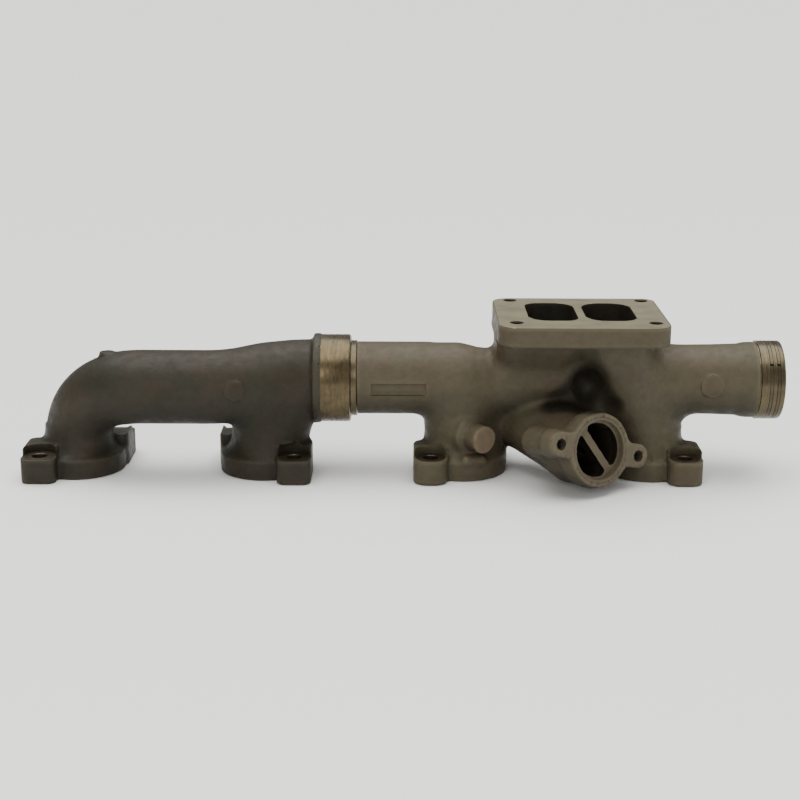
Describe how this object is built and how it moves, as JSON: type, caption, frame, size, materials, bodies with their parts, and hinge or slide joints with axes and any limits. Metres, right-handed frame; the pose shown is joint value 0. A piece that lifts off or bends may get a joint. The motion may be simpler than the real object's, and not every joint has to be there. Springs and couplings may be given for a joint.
{
  "type": "exhaust manifold",
  "caption": "Sectional cast-iron exhaust manifold: bent end section in a sealed slip joint on a centre section with a divided turbocharger flange, recirculation outlet and open spigot.",
  "frame": {"origin": "centre of port 3's face, on the plane of the four port faces", "axes": "+X along the log towards the open spigot, +Y away from the recirculation outlet's side, +Z out of the turbocharger flange, away from the port faces"},
  "size_m": [0.6407, 0.1545, 0.1388],
  "materials": {
    "end_iron": "as cast, heat-darkened olive grey",
    "centre_iron": "as cast, light olive brown, machined joint faces",
    "ring_steel": "ground, heat-tinted"
  },
  "bodies": {
    "centre_casting": {"centre_casting": "centre_iron"},
    "joint_rings": {"joint_ring_inner": "ring_steel", "joint_ring_outer": "ring_steel"},
    "end_casting": {"end_casting": "end_iron"},
    "end_ring_inner": {"end_ring_inner": "ring_steel"},
    "end_ring_outer": {"end_ring_outer": "ring_steel"}
  },
  "joints": [
    {"name": "slip_joint_twist", "type": "hinge", "parent": "centre_casting", "child": "joint_rings", "pos_m": [-0.104, 0, 0.08], "axis": [1, 0, 0], "continuous": true},
    {"name": "slip_joint_slide", "type": "slide", "parent": "joint_rings", "child": "end_casting", "axis": [-1, 0, 0], "range_m": [-0.0066, 0.003]},
    {"name": "end_ring_inner_turn", "type": "hinge", "parent": "centre_casting", "child": "end_ring_inner", "pos_m": [0.258, 0, 0.08], "axis": [1, 0, 0], "continuous": true},
    {"name": "end_ring_outer_turn", "type": "hinge", "parent": "centre_casting", "child": "end_ring_outer", "pos_m": [0.2645, 0, 0.08], "axis": [1, 0, 0], "continuous": true}
  ]
}
